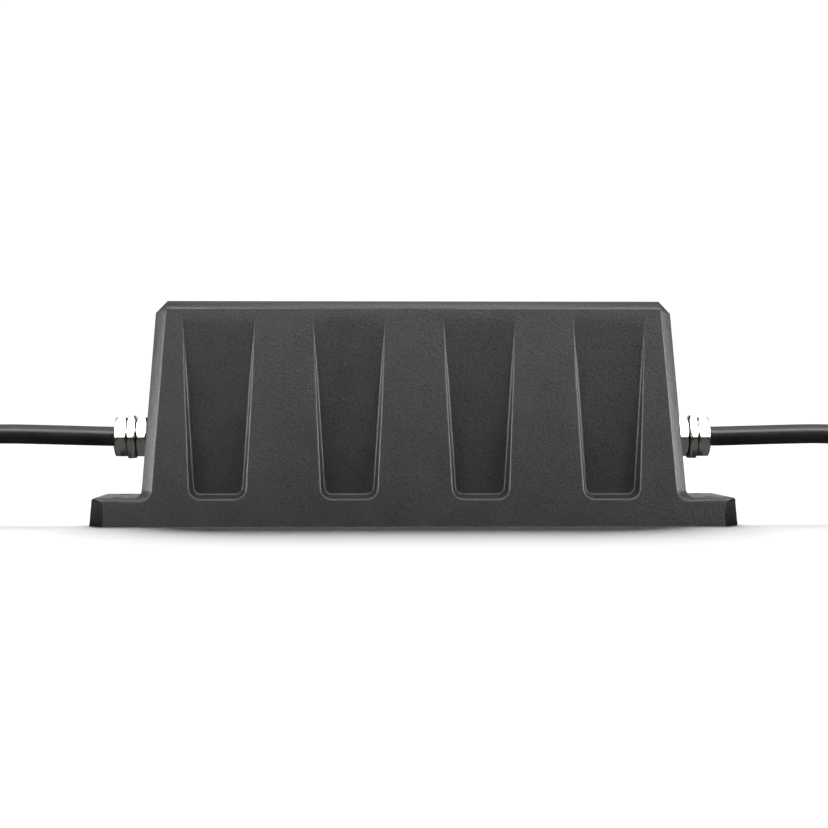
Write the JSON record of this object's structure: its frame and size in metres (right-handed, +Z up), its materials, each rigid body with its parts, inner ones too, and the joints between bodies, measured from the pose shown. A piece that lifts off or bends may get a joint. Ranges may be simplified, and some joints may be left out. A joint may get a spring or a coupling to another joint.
{
  "type": "sealed in-line coax enclosure",
  "caption": "Long trapezoidal moulded housing on a flanged base with tapered recesses front and back, with a sealed cable gland and a coiled coax lead with a screw-on plug at each end.",
  "frame": {"origin": "middle of the housing's base, on the surface that it stands on", "axes": "+X along the housing towards its right gland, -Y out of the front, +Z up"},
  "size_m": [0.7706, 0.1106, 0.114],
  "materials": {
    "housing": "charcoal moulded plastic with a fine spark-eroded grain",
    "plate": "milled sheet",
    "nickel": "nickel-plated brass, bright",
    "steel": "stainless steel",
    "brass": "turned brass, gold flash on the plug's pin",
    "rubber": "black EPDM",
    "jacket": "smooth black cable jacket, semi-gloss",
    "nylon": "natural nylon",
    "tie": "black nylon",
    "board": "green solder mask",
    "can": "tinned or bare can",
    "ferrite": "sintered ferrite",
    "copper": "bare copper"
  },
  "bodies": {
    "enclosure": {"housing": "housing", "base_plate": "plate", "base_gasket": "rubber", "base_screw_1": "steel", "base_screw_2": "steel", "base_screw_3": "steel", "base_screw_4": "steel", "base_screw_5": "steel", "base_screw_6": "steel", "circuit_board": "board", "board_standoff_1": "brass", "board_standoff_2": "brass", "board_standoff_3": "brass", "board_standoff_4": "brass", "board_screw_1": "steel", "board_screw_2": "steel", "board_screw_3": "steel", "board_screw_4": "steel", "shield_can": "can", "choke": "ferrite", "capacitor_1": "can", "capacitor_2": "can", "left_coax_terminal": "nickel", "left_inner_lead": "copper", "left_entry_washer": "rubber", "left_jam_nut": "nickel", "left_gland_body": "nickel", "left_gland_seal": "rubber", "left_clamp_cage": "nylon", "left_cable_run": "jacket", "left_cable_coil": "jacket", "left_cable_tail": "jacket", "left_coil_tie": "tie", "left_plug_boot": "rubber", "left_plug_body": "nickel", "left_plug_pin": "brass", "right_coax_terminal": "nickel", "right_inner_lead": "copper", "right_entry_washer": "rubber", "right_jam_nut": "nickel", "right_gland_body": "nickel", "right_gland_seal": "rubber", "right_clamp_cage": "nylon", "right_cable_run": "jacket", "right_cable_coil": "jacket", "right_cable_tail": "jacket", "right_coil_tie": "tie", "right_plug_boot": "rubber", "right_plug_body": "nickel", "right_plug_pin": "brass"},
    "left_slip_ring": {"left_slip_ring": "nylon"},
    "left_dome_nut": {"left_dome_nut": "nickel"},
    "left_coupling_nut": {"left_coupling_nut": "nickel"},
    "right_slip_ring": {"right_slip_ring": "nylon"},
    "right_dome_nut": {"right_dome_nut": "nickel"},
    "right_coupling_nut": {"right_coupling_nut": "nickel"}
  },
  "joints": [
    {"name": "left_nut_travel", "type": "slide", "parent": "enclosure", "child": "left_slip_ring", "axis": [-1, 0, 0], "range_m": [0, 0.003]},
    {"name": "left_nut_turn", "type": "hinge", "parent": "left_slip_ring", "child": "left_dome_nut", "pos_m": [-0.15, 0, 0.0447], "axis": [-1, 0, 0], "range_deg": [0, 720]},
    {"name": "left_coupling_spin", "type": "hinge", "parent": "enclosure", "child": "left_coupling_nut", "pos_m": [-0.372, 0.058, 0.0431], "axis": [0, 1, 0], "continuous": true},
    {"name": "right_nut_travel", "type": "slide", "parent": "enclosure", "child": "right_slip_ring", "axis": [1, 0, 0], "range_m": [0, 0.003]},
    {"name": "right_nut_turn", "type": "hinge", "parent": "right_slip_ring", "child": "right_dome_nut", "pos_m": [0.15, 0, 0.0447], "axis": [1, 0, 0], "range_deg": [0, 720]},
    {"name": "right_coupling_spin", "type": "hinge", "parent": "enclosure", "child": "right_coupling_nut", "pos_m": [0.372, 0.058, 0.0431], "axis": [0, 1, 0], "continuous": true}
  ],
  "couplings": [
    {"joint": "left_nut_travel", "follows": "left_nut_turn", "m_per_rad": 0.00023873},
    {"joint": "right_nut_travel", "follows": "right_nut_turn", "m_per_rad": 0.00023873}
  ]
}
